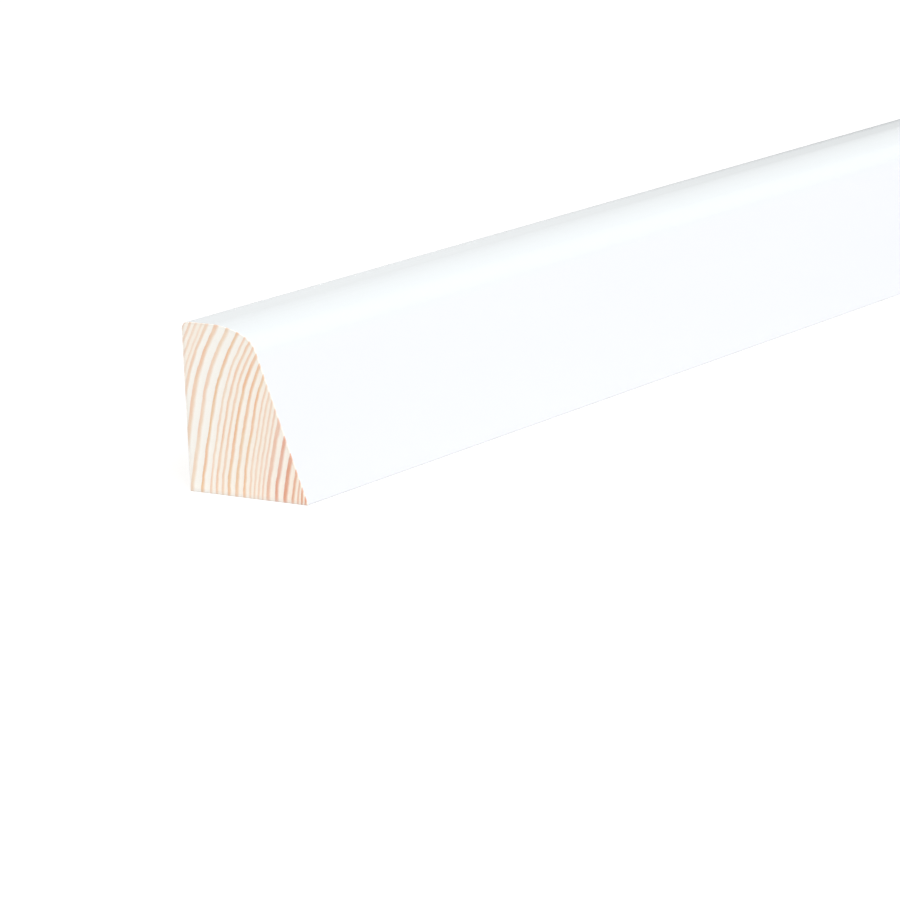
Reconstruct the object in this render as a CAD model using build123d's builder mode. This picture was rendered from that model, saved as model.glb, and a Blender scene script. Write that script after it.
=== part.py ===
from build123d import *
import os
from math import atan, pi, tan

# Cornice moulding: one length of solid pine, planed to a wedge section with a rounded crown.
# All sizes are in millimetres.
# The length runs along X, the moulded front faces -Y, and the two flat faces that are fixed
# to a building are the back, which faces +Y, and the base, which lies on Z = 0.

# Stock size
stock_length = 2400
height = 33
projection = 28

# Moulded front: a level land on top, a shallow crown that drops from the land to the
# shoulder, and a straight slope from the shoulder down to the front of the base
land_width = 7
shoulder_setout = 16.8
crown_drop = 2.8
shoulder_radius = 5.6

# Eased edges
back_arris_radius = 1.5
front_arris_radius = 0.4

# The sharp corner that the slope is drawn to lies in front of the finished projection,
# by what the rounding of that corner takes off
shoulder_height = height - crown_drop
corner_angle = pi / 2 - atan((projection - shoulder_setout) / shoulder_height)
corner_setout = projection + front_arris_radius * (1 / tan(corner_angle / 2) - 1)

# Section plane: x runs from the back towards the front, y runs up
section_plane = Plane(
    origin=(0, projection / 2, 0),
    x_dir=(0, -1, 0),
    z_dir=(-1, 0, 0),
)

base_back = (0, 0)
top_back = (0, height)
land_edge = (land_width, height)
shoulder = (shoulder_setout, shoulder_height)
base_front = (corner_setout, 0)

with BuildPart() as cornice_moulding:
    with BuildSketch(section_plane) as section:
        with BuildLine():
            Polyline(base_back, top_back, land_edge)
            TangentArc(land_edge, shoulder, tangent=(1, 0))
            Polyline(shoulder, base_front, base_back)
        make_face()
        fillet(section.vertices().sort_by_distance(shoulder)[0], radius=shoulder_radius)
        fillet(section.vertices().sort_by_distance(top_back)[0], radius=back_arris_radius)
        fillet(section.vertices().sort_by_distance(base_front)[0], radius=front_arris_radius)
    extrude(amount=stock_length / 2, both=True)

cornice_moulding.part.label = "cornice_moulding"

os.makedirs("parts", exist_ok=True)
export_step(cornice_moulding.part, "parts/cornice_moulding.step")
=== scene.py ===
from math import atan, atan2, cos, pi, radians, sin, sqrt

import bpy
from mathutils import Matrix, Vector


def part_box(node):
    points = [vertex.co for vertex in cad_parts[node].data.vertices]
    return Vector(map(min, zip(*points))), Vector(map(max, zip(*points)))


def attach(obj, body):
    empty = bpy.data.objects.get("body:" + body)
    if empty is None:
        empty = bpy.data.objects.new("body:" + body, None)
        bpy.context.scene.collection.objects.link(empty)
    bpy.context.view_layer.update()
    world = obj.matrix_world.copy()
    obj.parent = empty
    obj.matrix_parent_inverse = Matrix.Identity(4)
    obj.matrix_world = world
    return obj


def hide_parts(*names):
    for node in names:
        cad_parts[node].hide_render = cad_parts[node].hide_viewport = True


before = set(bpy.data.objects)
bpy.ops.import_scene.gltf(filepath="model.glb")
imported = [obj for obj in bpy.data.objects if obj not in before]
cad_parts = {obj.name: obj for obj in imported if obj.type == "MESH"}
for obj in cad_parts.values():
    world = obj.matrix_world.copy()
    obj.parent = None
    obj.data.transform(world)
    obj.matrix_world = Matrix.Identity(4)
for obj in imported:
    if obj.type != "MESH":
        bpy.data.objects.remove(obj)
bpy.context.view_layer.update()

# A length of pine cornice moulding: white satin paint on the moulded front and the top, bare
# planed pine on the back and the base, and two square-sawn ends that show the growth rings.
# Lengths are in metres. The length runs along X, the front faces -Y and the back faces +Y.

MM = 0.001

# Section, the same sizes as the solid's but for the foot's arris, which paint keeps crisp
(left_x, front_y, base_z), (right_x, back_y, top_z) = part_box("cornice_moulding")
length = right_x - left_x
width = back_y - front_y
height = top_z - base_z
land_width = 7 * MM
shoulder_setout = 16.8 * MM
crown_drop = 2.8 * MM
shoulder_radius = 5.6 * MM
back_arris_radius = 1.5 * MM
front_arris_radius = 0.2 * MM

# A short flat beside each small arris keeps the shading of the wide faces flat
arris_flat = 0.3 * MM

# Straight steps that each rounding is drawn in
back_arris_steps = 12
crown_steps = 32
shoulder_steps = 32
front_arris_steps = 10

# Sawn ends: a fine easing all round, and latewood that stands a little proud of earlywood
end_easing = 0.12 * MM
end_grid = 0.3 * MM
ring_relief = 0.05 * MM

# Length of the moulding between two of the mesh's stations
station_pitch = 300 * MM

# Growth rings, in millimetres. The pith runs along the stock, outside its section, and sweeps
# a little from side to side.
pith_y = -61.6
pith_z = -4.1
pith_sweep_y = 2.5
pith_sweep_z = 3.5
sweep_length_y = 2900
sweep_length_z = 1700
first_ring_radius = 45.75

# Two gentle waves bend the rings, and a finer wobble makes them uneven. A wave has its size,
# its turn in radians for each millimetre up and for each millimetre back, and its phase.
ring_waves = (
    (0.305, 0.175, 0.15, 2.36),
    (0.36, 0.256, 0.035, -1.52),
)
ring_wobble = 0.55

# The tree's history outwards from the pith, in periods of like growth: rings, ring width,
# and from 0 to 1 how strong, how red and how broad the latewood is
growth_periods = (
    (5, 0.90, 0.95, 0.90, 0.54),
    (1, 1.25, 0.90, 0.70, 0.44),
    (3, 2.00, 1.00, 1.00, 0.33),
    (4, 0.99, 0.46, 0.35, 0.40),
    (1, 1.45, 0.80, 0.10, 0.36),
    (2, 1.77, 0.92, 0.10, 0.32),
    (3, 1.35, 0.62, 0.15, 0.36),
    (1, 2.05, 0.85, 0.10, 0.28),
    (2, 2.55, 0.85, 0.10, 0.27),
    (1, 1.80, 0.90, 0.15, 0.28),
    (1, 0.85, 0.35, 0.30, 0.40),
    (3, 1.20, 0.60, 0.35, 0.34),
    (8, 1.60, 0.65, 0.30, 0.32),
)

# How strong the latewood of the weakest and the strongest year is, and how far the strength
# and the breadth drift along a ring
year_strengths = (0.75, 1.1)
strength_drift = 0.8
breadth_drift = 0.3

# Shares of a year: the latewood comes in from a little before its turn to a little after it,
# and starts to stop near the end of the year
onset_before = 0.26
onset_after = 0.08
latewood_stop = 0.93


# Section geometry, as (y, z) pairs

def section_arcs():
    """Returns the lean of the front and the centres and turns of the crown and shoulder."""
    rise = height - crown_drop
    lean = atan((width - shoulder_setout) / rise)
    # The slope is drawn to the sharp corner in front of the foot's arris, which depends on
    # the lean, so the lean is worked out a few times over
    for _ in range(3):
        corner = width + front_arris_radius * ((1 + sin(lean)) / cos(lean) - 1)
        lean = atan((corner - shoulder_setout) / rise)
    run = shoulder_setout - land_width
    radius = (run ** 2 + crown_drop ** 2) / (2 * crown_drop)
    crown = (back_y - land_width, top_z - radius)
    across = run * cos(lean) + (radius - crown_drop) * sin(lean) - shoulder_radius
    along = sqrt((radius - shoulder_radius) ** 2 - across ** 2)
    shoulder = (
        crown[0] - across * cos(lean) + along * sin(lean),
        crown[1] + across * sin(lean) + along * cos(lean),
    )
    crown_turn = atan2(crown[0] - shoulder[0], shoulder[1] - crown[1])
    return lean, crown, crown_turn, shoulder, pi / 2 - lean - crown_turn


def draw_section(x):
    """Draws and fills the section's outline at x, and returns the outline's points."""
    lean, crown, crown_turn, shoulder, shoulder_turn = section_arcs()
    back_arris = (back_y - back_arris_radius, top_z - back_arris_radius)
    front_arris = (front_y + front_arris_radius, base_z + front_arris_radius)
    points = [(back_y, base_z)]

    def line_to(y, z):
        move = (0, y - points[-1][0], z - points[-1][1])
        bpy.ops.mesh.extrude_region_move(TRANSFORM_OT_translate={"value": move})
        points.append((y, z))

    def arc_about(centre, turn, steps):
        bpy.ops.mesh.spin(steps=steps, angle=-turn, center=(x, *centre), axis=(1, 0, 0))
        y = points[-1][0] - centre[0]
        z = points[-1][1] - centre[1]
        for step in range(1, steps + 1):
            part = turn * step / steps
            points.append((
                centre[0] + y * cos(part) - z * sin(part),
                centre[1] + y * sin(part) + z * cos(part),
            ))

    bpy.ops.object.select_all(action="DESELECT")
    bpy.ops.mesh.primitive_plane_add(size=MM, location=(x, back_y, base_z))
    bpy.ops.object.mode_set(mode="EDIT")
    bpy.ops.mesh.merge(type="CENTER")
    slope_foot = (
        front_arris[0] - front_arris_radius * cos(lean),
        front_arris[1] + front_arris_radius * sin(lean),
    )
    line_to(back_y, back_arris[1] - arris_flat)
    line_to(back_y, back_arris[1])
    arc_about(back_arris, pi / 2, back_arris_steps)
    line_to(back_arris[0] - arris_flat, top_z)
    line_to(crown[0], top_z)
    arc_about(crown, crown_turn, crown_steps)
    arc_about(shoulder, shoulder_turn, shoulder_steps)
    line_to(slope_foot[0] + arris_flat * sin(lean), slope_foot[1] + arris_flat * cos(lean))
    line_to(*slope_foot)
    arc_about(front_arris, pi / 2 + lean, front_arris_steps)
    line_to(front_arris[0] + arris_flat, base_z)
    bpy.ops.mesh.select_all(action="SELECT")
    bpy.ops.mesh.edge_face_add()
    return points


def looks_endways(face):
    """Tells whether a face looks along the moulding, as a sawn end and its easing do."""
    return abs(face.normal.x) > 0.5


def select_faces(piece, test):
    """Selects the faces of a piece that pass a test, and goes to edit mode."""
    bpy.ops.object.mode_set(mode="EDIT")
    bpy.ops.mesh.select_mode(type="FACE")
    bpy.ops.mesh.select_all(action="DESELECT")
    bpy.ops.object.mode_set(mode="OBJECT")
    for face in piece.data.polygons:
        face.select = test(face)
    bpy.ops.object.mode_set(mode="EDIT")


def select_finish(piece, *slots):
    """Selects, in edit mode, the faces of a piece that are in some of its material slots."""
    bpy.ops.mesh.select_all(action="DESELECT")
    for slot in slots:
        piece.active_material_index = slot
        bpy.ops.object.material_slot_select()


def cut_across(axis, place):
    """Cuts what is selected by a plane across an axis, and opens nothing."""
    origin = [0, 0, 0]
    normal = [0, 0, 0]
    origin[axis] = place
    normal[axis] = 1
    bpy.ops.mesh.bisect(plane_co=origin, plane_no=normal)


def cuts_between(low, high, pitch):
    """Returns evenly spaced places between two ends, about a pitch apart."""
    count = round((high - low) / pitch)
    return [low + (high - low) * step / count for step in range(1, count)]


# Node helpers, which serve materials, the world and geometry nodes alike

def add(tree, kind, **settings):
    """Adds a node and returns it."""
    node = tree.nodes.new(kind)
    for name, value in settings.items():
        setattr(node, name, value)
    return node


def feed(tree, socket, value):
    """Links a socket to an output, or sets its value."""
    if isinstance(value, bpy.types.NodeSocket):
        tree.links.new(value, socket)
    else:
        socket.default_value = value


def calc(tree, operation, *values):
    """Returns the result of one calculation on values and outputs."""
    node = add(tree, "ShaderNodeMath", operation=operation)
    for socket, value in zip(node.inputs, values):
        feed(tree, socket, value)
    return node.outputs[0]


def ramp_between(tree, value, low, high, to_low=0.0, to_high=1.0, smooth=False):
    """Maps a value from one range to another and holds it at both ends."""
    node = add(tree, "ShaderNodeMapRange")
    if smooth:
        node.interpolation_type = "SMOOTHSTEP"
    names = ("Value", "From Min", "From Max", "To Min", "To Max")
    for name, part in zip(names, (value, low, high, to_low, to_high)):
        feed(tree, node.inputs[name], part)
    return node.outputs["Result"]


def millimetres(tree, place):
    """Splits a place into its x, y and z in millimetres."""
    axes = add(tree, "ShaderNodeSeparateXYZ")
    feed(tree, axes.inputs[0], place)
    return [calc(tree, "DIVIDE", axis, MM) for axis in axes.outputs]


def noise(tree, spot, grain, detail=2.0):
    """Returns noise that is stretched to a grain size along each axis, in millimetres."""
    scaled = add(tree, "ShaderNodeCombineXYZ")
    for socket, value, size in zip(scaled.inputs, spot, grain):
        feed(tree, socket, calc(tree, "DIVIDE", value, size))
    texture = add(tree, "ShaderNodeTexNoise")
    texture.inputs["Scale"].default_value = 1.0
    texture.inputs["Detail"].default_value = detail
    feed(tree, texture.inputs["Vector"], scaled.outputs[0])
    return texture.outputs[0]


def wave(tree, size, *terms):
    """Returns size times the sine of a sum of (factor, value) terms and a plain phase."""
    total = terms[-1]
    for factor, value in terms[:-1]:
        total = calc(tree, "MULTIPLY_ADD", value, factor, total)
    return calc(tree, "MULTIPLY", calc(tree, "SINE", total), size)


def ring_radius(tree, spot):
    """Returns how far a spot in the wood is from the pith, with the rings' uneven bends."""
    x, y, z = spot
    along = calc(tree, "SUBTRACT", x, left_x / MM)

    def off_pith(value, pith, sweep, sweep_length):
        swing = wave(tree, sweep, (2 * pi / sweep_length, along), 0.0)
        return calc(tree, "ADD", calc(tree, "SUBTRACT", value, pith), swing)

    off_y = off_pith(y, pith_y, pith_sweep_y, sweep_length_y)
    off_z = off_pith(z, pith_z, pith_sweep_z, sweep_length_z)
    square = calc(tree, "MULTIPLY_ADD", off_y, off_y, calc(tree, "MULTIPLY", off_z, off_z))
    radius = calc(tree, "SQRT", square)
    for size, up, back, phase in ring_waves:
        radius = calc(tree, "ADD", radius, wave(tree, size, (up, z), (back, y), phase))
    wobble = calc(tree, "SUBTRACT", noise(tree, spot, (160, 3.2, 3.2), 3), 0.5)
    return calc(tree, "MULTIPLY_ADD", wobble, ring_wobble, radius)


def growth_rings(tree, spot):
    """Returns the latewood, its redness and its breadth at a spot in the wood."""
    radius = ring_radius(tree, spot)
    year = 0.0
    inner = first_ring_radius
    marks = []
    for rings, ring_width, strength, redness, breadth in growth_periods:
        outer = inner + rings * ring_width
        year = calc(tree, "ADD", year, ramp_between(tree, radius, inner, outer, 0, rings))
        marks.append(((inner + outer) / 2, (strength, redness, breadth, 1)))
        inner = outer
    last_radius = inner

    # A colour ramp carries the strength, redness and breadth from one period to the next
    look = add(tree, "ShaderNodeValToRGB")
    stops = look.color_ramp.elements
    for mark_radius, values in marks:
        position = (mark_radius - first_ring_radius) / (last_radius - first_ring_radius)
        stops.new(position).color = values
    stops.remove(stops[0])
    stops.remove(stops[len(stops) - 1])
    feed(tree, look.inputs[0], ramp_between(tree, radius, first_ring_radius, last_radius))
    parts = add(tree, "ShaderNodeSeparateXYZ")
    feed(tree, parts.inputs[0], look.outputs[0])
    strength, redness, breadth = parts.outputs

    of_year = add(tree, "ShaderNodeTexWhiteNoise", noise_dimensions="1D")
    feed(tree, of_year.inputs["W"], calc(tree, "FLOOR", year))
    year_strength = ramp_between(tree, of_year.outputs[0], 0, 1, *year_strengths)
    strength = calc(tree, "MULTIPLY", strength, year_strength)
    drift = calc(tree, "SUBTRACT", noise(tree, spot, (300, 5, 5)), 0.5)
    drifted = calc(tree, "MULTIPLY_ADD", drift, strength_drift, 1.0)
    strength = calc(tree, "MULTIPLY", strength, drifted)

    within = calc(tree, "FRACT", year)
    drifted = calc(tree, "MULTIPLY_ADD", drift, breadth_drift, 1.0)
    turn = calc(tree, "SUBTRACT", drifted, breadth)
    onset_start = calc(tree, "SUBTRACT", turn, onset_before)
    onset_end = calc(tree, "ADD", turn, onset_after)
    rise = ramp_between(tree, within, onset_start, onset_end, smooth=True)
    fall = ramp_between(tree, within, latewood_stop, 1.0, 1, 0, smooth=True)
    latewood = calc(tree, "MULTIPLY", calc(tree, "MULTIPLY", rise, fall), strength)
    return latewood, redness, breadth


# Mesh of the moulding

outline = draw_section(left_x + end_easing)
bpy.ops.mesh.extrude_region_move(
    TRANSFORM_OT_translate={"value": (length - 2 * end_easing, 0, 0)}
)
bpy.ops.mesh.select_all(action="SELECT")
bpy.ops.mesh.normals_make_consistent(inside=False)
bpy.ops.object.mode_set(mode="OBJECT")
moulding = bpy.context.object
moulding.name = "moulding"
bpy.ops.object.transform_apply(location=True, rotation=True, scale=True)

for name in ("white_satin_paint", "planed_pine", "sawn_pine"):
    bpy.ops.object.material_slot_add()
    moulding.material_slots[-1].material = bpy.data.materials.new(name)
PAINT, PLANED, SAWN = range(3)
white_satin_paint, planed_pine, sawn_pine = (slot.material for slot in moulding.material_slots)

# The ends stand out by their easing
select_faces(moulding, looks_endways)
bpy.ops.mesh.inset(thickness=end_easing, depth=end_easing, use_even_offset=True)
bpy.ops.object.mode_set(mode="OBJECT")
for face in moulding.data.polygons:
    if looks_endways(face):
        face.material_index = SAWN
    elif face.normal.y > 0.7 and face.center.z < top_z - back_arris_radius:
        face.material_index = PLANED
    elif face.normal.z < -0.7 and face.center.y > front_y + front_arris_radius:
        face.material_index = PLANED

# The sawn faces are diced finely, so that their rings can have relief, and the long faces
# are only cut at the stations
bpy.ops.object.mode_set(mode="EDIT")
for axis, low, high in ((1, front_y, back_y), (2, base_z, top_z)):
    for place in cuts_between(low, high, end_grid):
        select_finish(moulding, SAWN)
        cut_across(axis, place)
for place in cuts_between(left_x, right_x, station_pitch):
    select_finish(moulding, PAINT, PLANED)
    cut_across(0, place)
bpy.ops.object.mode_set(mode="OBJECT")

# Points inside a sawn face may sink, and those on its easing stay
inside = [True] * len(moulding.data.vertices)
for face in moulding.data.polygons:
    if abs(face.normal.x) < 0.99:
        for index in face.vertices:
            inside[index] = False
sawn_points = moulding.vertex_groups.new(name="sawn_points")
sawn_points.add([index for index, free in enumerate(inside) if free], 1, "REPLACE")

# The soft earlywood lies a little lower than the hard latewood
relief = bpy.data.node_groups.new("ring_relief", "GeometryNodeTree")
for in_out in ("INPUT", "OUTPUT"):
    relief.interface.new_socket("Geometry", in_out=in_out, socket_type="NodeSocketGeometry")
geometry_in = add(relief, "NodeGroupInput")
geometry_out = add(relief, "NodeGroupOutput")
spot = millimetres(relief, add(relief, "GeometryNodeInputPosition").outputs[0])
may_sink = add(relief, "GeometryNodeInputNamedAttribute", data_type="FLOAT")
may_sink.inputs["Name"].default_value = sawn_points.name
latewood = growth_rings(relief, spot)[0]
depth = calc(relief, "MAXIMUM", calc(relief, "SUBTRACT", 1.0, latewood), 0.0)
depth = calc(relief, "MULTIPLY", depth, ring_relief)
depth = calc(relief, "MULTIPLY", depth, may_sink.outputs["Attribute"])
inwards = calc(relief, "MULTIPLY", calc(relief, "SIGN", spot[0]), -1.0)
offset = add(relief, "ShaderNodeCombineXYZ")
feed(relief, offset.inputs["X"], calc(relief, "MULTIPLY", depth, inwards))
sink = add(relief, "GeometryNodeSetPosition")
feed(relief, sink.inputs["Geometry"], geometry_in.outputs[0])
feed(relief, sink.inputs["Offset"], offset.outputs[0])
feed(relief, geometry_out.inputs[0], sink.outputs[0])
modifier = moulding.modifiers.new("ring_relief", "NODES")
modifier.node_group = relief
bpy.ops.object.modifier_apply(modifier=modifier.name)
moulding.vertex_groups.clear()
bpy.ops.object.shade_smooth_by_angle(angle=radians(30))


# The piece's own map, in pixels of a square picture: both ends side by side, and under them
# the painted front, the back and the base as strips as long as the picture

MAP_SIZE = 1024
MAP_MARGIN = 8
END_SCALE = 12.2 / MM
STRIP_SCALE = 5 / MM

distances = [0.0]
for (y0, z0), (y1, z1) in zip(outline, outline[1:]):
    distances.append(distances[-1] + sqrt((y1 - y0) ** 2 + (z1 - z0) ** 2))
strip_tops = {}
strip_top = 2 * MAP_MARGIN + END_SCALE * height
for name, breadth in (("front", distances[-1]), ("back", height), ("base", width)):
    strip_tops[name] = strip_top
    strip_top += STRIP_SCALE * breadth + MAP_MARGIN


def along_outline(y, z):
    """Returns how far round the outline its point nearest to a place is."""
    gaps = [(y - y0) ** 2 + (z - z0) ** 2 for y0, z0 in outline]
    return distances[gaps.index(min(gaps))]


def map_place(face, x, y, z):
    """Returns where a corner of a face lies on the map, across and down."""
    if looks_endways(face):
        across = MAP_MARGIN + END_SCALE * (y - front_y)
        if x > 0:
            across += MAP_MARGIN + END_SCALE * width
        return across, MAP_MARGIN + END_SCALE * (top_z - z)
    across = MAP_MARGIN + (MAP_SIZE - 2 * MAP_MARGIN) * (x - left_x) / length
    if face.material_index == PAINT:
        return across, strip_tops["front"] + STRIP_SCALE * along_outline(y, z)
    if face.normal.y > 0.5:
        return across, strip_tops["back"] + STRIP_SCALE * (top_z - z)
    return across, strip_tops["base"] + STRIP_SCALE * (y - front_y)


own_map = moulding.data.uv_layers.new(name="OFBake")
for face in moulding.data.polygons:
    for loop in face.loop_indices:
        point = moulding.data.vertices[moulding.data.loops[loop].vertex_index]
        across, down = map_place(face, *point.co)
        own_map.data[loop].uv = (across / MAP_SIZE, 1 - down / MAP_SIZE)


# Materials

def rgb(red, green, blue):
    """Turns a colour as it is seen on a screen, from 0 to 255, into a linear one."""
    parts = []
    for value in (red, green, blue):
        value /= 255
        parts.append(value / 12.92 if value <= 0.04045 else ((value + 0.055) / 1.055) ** 2.4)
    return (*parts, 1)


# Whites of the paint. The clouds of a coat lie between the two in a pair. The crown's pair is
# painted shade: a cooler, greener white that stands in for the shaded band along the land and
# crown.
PAINT_WHITE = rgb(237, 239, 242)
SLOPE_WHITES = (rgb(236, 238, 242), rgb(238, 240, 244))
CROWN_PAINTED_SHADE_WHITES = (rgb(234, 239, 241), rgb(236, 241, 243))

# How far below the top the crown's painted shade starts to give way, and where it has given way
PAINTED_SHADE_FULL_ABOVE = 2.5
PAINTED_SHADE_GONE_BELOW = 7

# The paint film's relief, in millimetres
FILM_DEPTH = 0.018
ROLL_WIDTH = 3.5
ROLL_RADIUS = 36

# Tones of the wood: wide earlywood, narrow earlywood, and orange, red and tan latewood
SAWN_TONES = (
    rgb(242, 240, 234),
    rgb(242, 231, 217),
    rgb(230, 178, 134),
    rgb(219, 157, 133),
    rgb(226, 199, 158),
)
PLANED_TONES = (
    rgb(243, 229, 204),
    rgb(240, 219, 188),
    rgb(222, 165, 110),
    rgb(205, 138, 96),
    rgb(222, 186, 134),
)
SAWN_FIBRE = rgb(205, 180, 150)
# Grey of the painted shadow line along the sawn ends' back and base edges
SAWN_EDGE_SHADE = rgb(202, 196, 190)
PLANED_FIBRE = rgb(208, 174, 130)
PLANED_PORE = rgb(176, 132, 88)

# Breadths of the latewood in wide rings and in narrow ones
WIDE_RING_BREADTH = 0.27
NARROW_RING_BREADTH = 0.42

# Spacing of the marks that the planer's knives and the saw's teeth leave, in millimetres
PLANER_PITCH = 1.6
SAW_PITCH = 1.9


def blend(tree, factor, first, second):
    """Mixes two colours."""
    mix = add(tree, "ShaderNodeMix", data_type="RGBA")
    # A colour mix has its factor and its two colours at these inputs, and its result at 2
    for index, value in ((0, factor), (6, first), (7, second)):
        feed(tree, mix.inputs[index], value)
    return mix.outputs[2]


def surface_nodes(material):
    """Turns a material's nodes on, and returns its tree, its shader and its spot."""
    material.use_nodes = True
    tree = material.node_tree
    place = add(tree, "ShaderNodeTexCoord").outputs["Object"]
    return tree, tree.nodes["Principled BSDF"], millimetres(tree, place)


def bump(tree, shader, level, depth):
    """Raises the surface by a level, which counts in depths. The depth is in metres."""
    node = add(tree, "ShaderNodeBump")
    node.inputs["Strength"].default_value = 1.0
    node.inputs["Distance"].default_value = depth
    feed(tree, node.inputs["Height"], level)
    feed(tree, shader.inputs["Normal"], node.outputs[0])


def wood_colour(tree, tones, latewood, redness, breadth, tint):
    """Colours the rings. The tint, from 0 to 1, drifts the orange latewood towards tan."""
    early, narrow_early, orange, red, tan = tones
    crowded = ramp_between(tree, breadth, WIDE_RING_BREADTH, NARROW_RING_BREADTH)
    early = blend(tree, crowded, early, narrow_early)
    late = blend(tree, calc(tree, "MULTIPLY", tint, 0.6), orange, tan)
    late = blend(tree, redness, late, red)
    return blend(tree, latewood, early, late)


def finish_paint(material):
    """Makes sprayed satin white that lets the finest hint of the grain through."""
    tree, shader, spot = surface_nodes(material)
    y, z = spot[1:]
    cloud = noise(tree, spot, (60, 14, 14), 3)
    grain = noise(tree, spot, (45, 0.9, 0.9), 3)
    peel = noise(tree, spot, (1.1, 1.1, 1.1), 2)

    # Painted shade: the white is a touch cooler on the crown and the land than on the slope, as
    # those up-facing faces look in shade
    top = top_z / MM
    painted_shade_share = ramp_between(
        tree, z, top - PAINTED_SHADE_GONE_BELOW, top - PAINTED_SHADE_FULL_ABOVE, smooth=True
    )
    slope_white = blend(tree, cloud, *SLOPE_WHITES)
    painted_shade_white = blend(tree, cloud, *CROWN_PAINTED_SHADE_WHITES)
    white = blend(tree, painted_shade_share, slope_white, painted_shade_white)
    feed(tree, shader.inputs["Base Color"], white)
    feed(tree, shader.inputs["Roughness"], ramp_between(tree, cloud, 0.3, 0.7, 0.13, 0.17))
    shader.inputs["Specular IOR Level"].default_value = 0.5

    # The film rolls gently over towards the back arris
    level = calc(tree, "MULTIPLY_ADD", grain, 0.6, calc(tree, "MULTIPLY", peel, 0.4))
    roll = calc(tree, "SUBTRACT", y, back_y / MM - ROLL_WIDTH)
    roll = calc(tree, "MAXIMUM", roll, 0.0)
    roll = calc(tree, "MULTIPLY", roll, roll)
    level = calc(tree, "MULTIPLY_ADD", roll, -0.5 / (ROLL_RADIUS * FILM_DEPTH), level)
    bump(tree, shader, level, FILM_DEPTH * MM)


def finish_planed(material):
    """Makes planed wood: the rings as grain, with the paint's feathered edge on it."""
    tree, shader, spot = surface_nodes(material)
    x, y, z = spot
    latewood, redness, breadth = growth_rings(tree, spot)
    fibre = noise(tree, spot, (40, 0.35, 0.35), 4)
    streak = noise(tree, spot, (220, 2.5, 2.5), 3)
    streaked = ramp_between(tree, streak, 0.3, 0.7, 0.65, 1.0)
    soft_late = calc(tree, "MULTIPLY", latewood, streaked)
    tint = ramp_between(tree, streak, 0.4, 0.7)
    wood = wood_colour(tree, PLANED_TONES, soft_late, redness, breadth, tint)
    fibres = ramp_between(tree, fibre, 0.4, 0.75, 0.0, 0.3)
    wood = blend(tree, fibres, wood, PLANED_FIBRE)
    pores = noise(tree, spot, (5, 0.16, 0.16), 1)
    wood = blend(tree, ramp_between(tree, pores, 0.68, 0.76, 0.0, 0.45), wood, PLANED_PORE)

    spray = noise(tree, spot, (9, 1.2, 1.2), 4)
    edge_back = calc(tree, "SUBTRACT", (top_z - back_arris_radius) / MM, z)
    edge_front = calc(tree, "SUBTRACT", y, (front_y + front_arris_radius) / MM)
    edge = calc(tree, "MINIMUM", edge_back, edge_front)
    edge = calc(tree, "MULTIPLY_ADD", calc(tree, "SUBTRACT", spray, 0.5), -3.2, edge)
    painted = ramp_between(tree, edge, 0.15, 1.3, 1.0, 0.0, smooth=True)
    feed(tree, shader.inputs["Base Color"], blend(tree, painted, wood, PAINT_WHITE))
    rough = ramp_between(tree, latewood, 0, 1, 0.62, 0.5)
    feed(tree, shader.inputs["Roughness"], ramp_between(tree, painted, 0, 1, rough, 0.42))
    shader.inputs["Specular IOR Level"].default_value = 0.35

    planer = calc(tree, "SINE", calc(tree, "MULTIPLY", x, 2 * pi / PLANER_PITCH))
    level = calc(tree, "MULTIPLY_ADD", fibre, 0.7, calc(tree, "MULTIPLY", latewood, 0.25))
    level = calc(tree, "MULTIPLY_ADD", planer, 0.03, level)
    bump(tree, shader, level, 0.03 * MM)


def finish_sawn(material):
    """Makes sawn ends: cut fibres and the faintest saw marks over the rings."""
    tree, shader, spot = surface_nodes(material)
    y, z = spot[1:]
    latewood, redness, breadth = growth_rings(tree, spot)
    fibre = noise(tree, spot, (1, 0.16, 0.16), 3)
    patch = noise(tree, spot, (40, 3.5, 7.0), 2)
    torn = ramp_between(tree, fibre, 0.3, 0.7, 0.85, 1.05)
    late = calc(tree, "MULTIPLY", latewood, torn)
    tint = ramp_between(tree, patch, 0.42, 0.62)
    wood = wood_colour(tree, SAWN_TONES, late, redness, breadth, tint)
    wood = blend(tree, ramp_between(tree, fibre, 0.45, 0.8, 0.0, 0.12), wood, SAWN_FIBRE)

    # Painted shade: a narrow rim beside the bare back and base is a little greyer, a shadow
    # line along those edges
    to_back = calc(tree, "SUBTRACT", back_y / MM, y)
    to_base = calc(tree, "SUBTRACT", z, base_z / MM)
    to_edge = calc(tree, "MINIMUM", to_back, to_base)
    edge_shade = ramp_between(tree, to_edge, 0.1, 1.0, 0.3, 0.0, smooth=True)
    feed(tree, shader.inputs["Base Color"], blend(tree, edge_shade, wood, SAWN_EDGE_SHADE))
    feed(tree, shader.inputs["Roughness"], ramp_between(tree, latewood, 0, 1, 0.78, 0.6))
    shader.inputs["Specular IOR Level"].default_value = 0.25

    slant = calc(tree, "MULTIPLY", y, 0.35)
    saw = calc(tree, "SINE", calc(tree, "MULTIPLY_ADD", z, 2 * pi / SAW_PITCH, slant))
    bump(tree, shader, calc(tree, "MULTIPLY_ADD", saw, 0.12, fibre), 0.04 * MM)


finish_paint(white_satin_paint)
finish_planed(planed_pine)
finish_sawn(sawn_pine)


# Frame

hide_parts("cornice_moulding")
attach(moulding, "root")


# Floor, light and camera

FLOOR_SIZE = 120
FLOOR_BOUNCE = 0.7
FLOOR_SHADE = 0.4
FLOOR_GLOW = 0.68
SKY_LIGHT = 0.5

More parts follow.
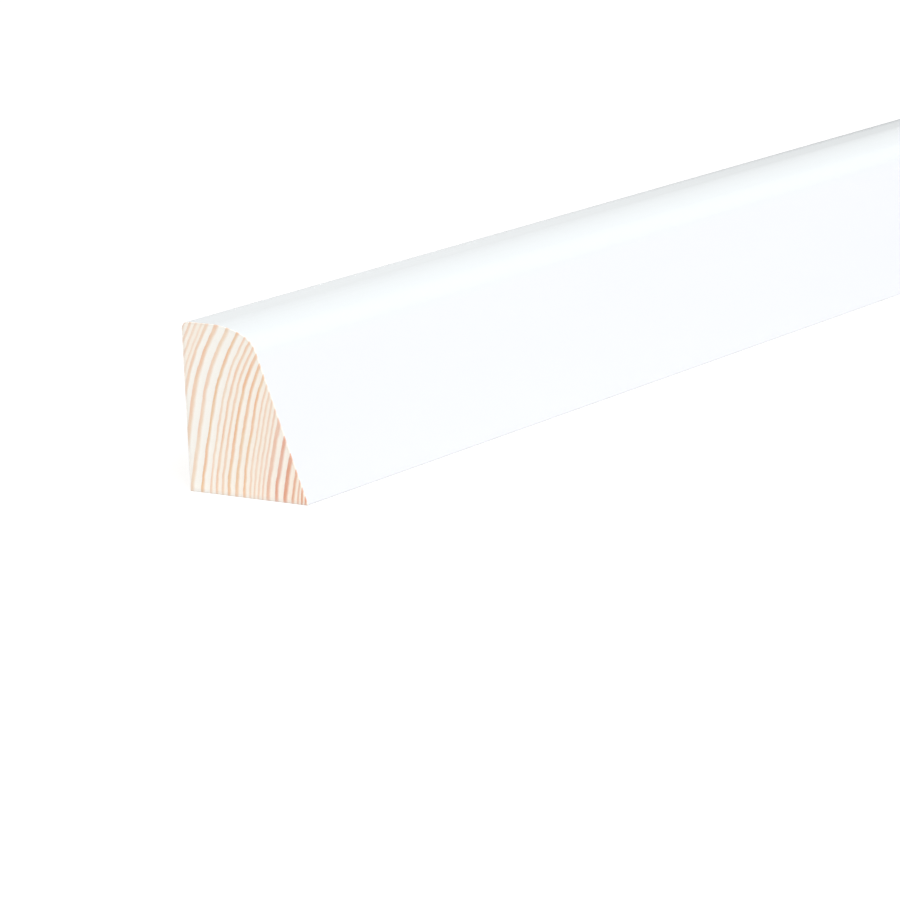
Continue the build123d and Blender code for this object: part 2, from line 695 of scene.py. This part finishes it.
# What the paint mirrors, by degrees above the floor and degrees away from +X, the way of the
# far end. It is a little greyer towards the floor, and dark low down on the far side, which
# shows along the back arris where it is seen at a shallow angle. A share of that dark stays
# above the heights.
HORIZON_SHARE = 0.84
HORIZON_HEIGHTS = (8, 33)
DARK_SIDE_HEIGHTS = (9, 4)
DARK_SIDE_TURNS = (37, 28)
DARK_SIDE_ABOVE = 0.1

KEY_LIGHT = 2.51
KEY_DIRECTION = (-0.572, -0.541, 0.617)
KEY_SPREAD = 60
FILL_LIGHT = 1.2
FILL_DIRECTION = (0.72, 0.69, 0.01)
FILL_SPREAD = 20

# The camera's turns are in degrees, its lens and sensor in millimetres
CAMERA_PLACE = (-1.7810, -0.4582, 0.1736)
CAMERA_TURN = (77.3395, 2.2943, -55.2319)
CAMERA_LENS = 160.62
CAMERA_SENSOR = 36


def grey(value):
    return (value, value, value, 1)


def seen_directly(tree):
    """Returns 1 for rays from the camera and those mirrored or let through on their way."""
    path = add(tree, "ShaderNodeLightPath")
    direct = calc(tree, "MAXIMUM", path.outputs["Is Camera Ray"], path.outputs["Is Glossy Ray"])
    return calc(tree, "MAXIMUM", direct, path.outputs["Is Transmission Ray"])


def finish_floor(material):
    """Makes a floor that looks white but for soft shadows, and bounces light as plain grey."""
    material.use_nodes = True
    tree = material.node_tree
    tree.nodes.remove(tree.nodes["Principled BSDF"])
    lit = add(tree, "ShaderNodeBsdfDiffuse")
    lit.inputs["Color"].default_value = grey(FLOOR_BOUNCE)
    seen = add(tree, "ShaderNodeBsdfDiffuse")
    seen.inputs["Color"].default_value = grey(FLOOR_SHADE)
    glow = add(tree, "ShaderNodeEmission")
    glow.inputs["Strength"].default_value = FLOOR_GLOW
    white = add(tree, "ShaderNodeAddShader")
    feed(tree, white.inputs[0], seen.outputs[0])
    feed(tree, white.inputs[1], glow.outputs[0])
    choice = add(tree, "ShaderNodeMixShader")
    feed(tree, choice.inputs[0], seen_directly(tree))
    feed(tree, choice.inputs[1], lit.outputs[0])
    feed(tree, choice.inputs[2], white.outputs[0])
    feed(tree, tree.nodes["Material Output"].inputs["Surface"], choice.outputs[0])


def finish_sky(world):
    """Makes a sky that looks plain white, gives soft light and is mirrored as said above."""
    world.use_nodes = True
    tree = world.node_tree
    sky = tree.nodes["Background"]
    sky.inputs["Color"].default_value = grey(1)
    axes = add(tree, "ShaderNodeSeparateXYZ")
    feed(tree, axes.inputs[0], add(tree, "ShaderNodeTexCoord").outputs["Generated"])
    to_far_end, _, upwards = axes.outputs
    low, high = (sin(radians(angle)) for angle in HORIZON_HEIGHTS)
    horizon = ramp_between(tree, upwards, low, high, HORIZON_SHARE, 1, smooth=True)
    high, low = (sin(radians(angle)) for angle in DARK_SIDE_HEIGHTS)
    low_down = ramp_between(tree, upwards, high, low, DARK_SIDE_ABOVE, 1, smooth=True)
    wide, near = (cos(radians(angle)) for angle in DARK_SIDE_TURNS)
    far_side = ramp_between(tree, to_far_end, wide, near, smooth=True)
    dark_side = calc(tree, "SUBTRACT", 1.0, calc(tree, "MULTIPLY", low_down, far_side))
    mirrored = add(tree, "ShaderNodeLightPath").outputs["Is Glossy Ray"]
    mirror_image = calc(tree, "MULTIPLY", horizon, dark_side)
    backdrop = ramp_between(tree, mirrored, 0, 1, 1.0, mirror_image)
    strength = ramp_between(tree, seen_directly(tree), 0, 1, SKY_LIGHT, backdrop)
    feed(tree, sky.inputs["Strength"], strength)


def soft_lamp(name, location, direction, strength, spread):
    """Adds a far lamp that shines from a direction and spreads over some degrees."""
    bpy.ops.object.light_add(type="SUN", location=location)
    lamp = bpy.context.object
    lamp.name = name
    lamp.data.energy = strength
    lamp.data.angle = radians(spread)
    lamp.rotation_euler = Vector(direction).to_track_quat("Z", "Y").to_euler()
    return lamp


bpy.ops.object.select_all(action="DESELECT")
bpy.ops.mesh.primitive_plane_add(size=FLOOR_SIZE, location=(0, 0, base_z))
floor = bpy.context.object
floor.name = "floor"
pale_floor = bpy.data.materials.new("pale_floor")
floor.data.materials.append(pale_floor)
finish_floor(pale_floor)

scene = bpy.context.scene
scene.world = bpy.data.worlds.new("studio")
finish_sky(scene.world)

soft_lamp("key_light", (-2, -2, 2), KEY_DIRECTION, KEY_LIGHT, KEY_SPREAD)
# A low light for the back and the far end, which the paint doesn't mirror
fill = soft_lamp("fill_light", (2, 2, 1), FILL_DIRECTION, FILL_LIGHT, FILL_SPREAD)
fill.visible_glossy = False

bpy.ops.object.camera_add(
    location=CAMERA_PLACE,
    rotation=[radians(angle) for angle in CAMERA_TURN],
)
camera = bpy.context.object
camera.name = "camera"
camera.data.lens = CAMERA_LENS
camera.data.sensor_width = CAMERA_SENSOR
scene.camera = camera
scene.view_settings.view_transform = "Standard"
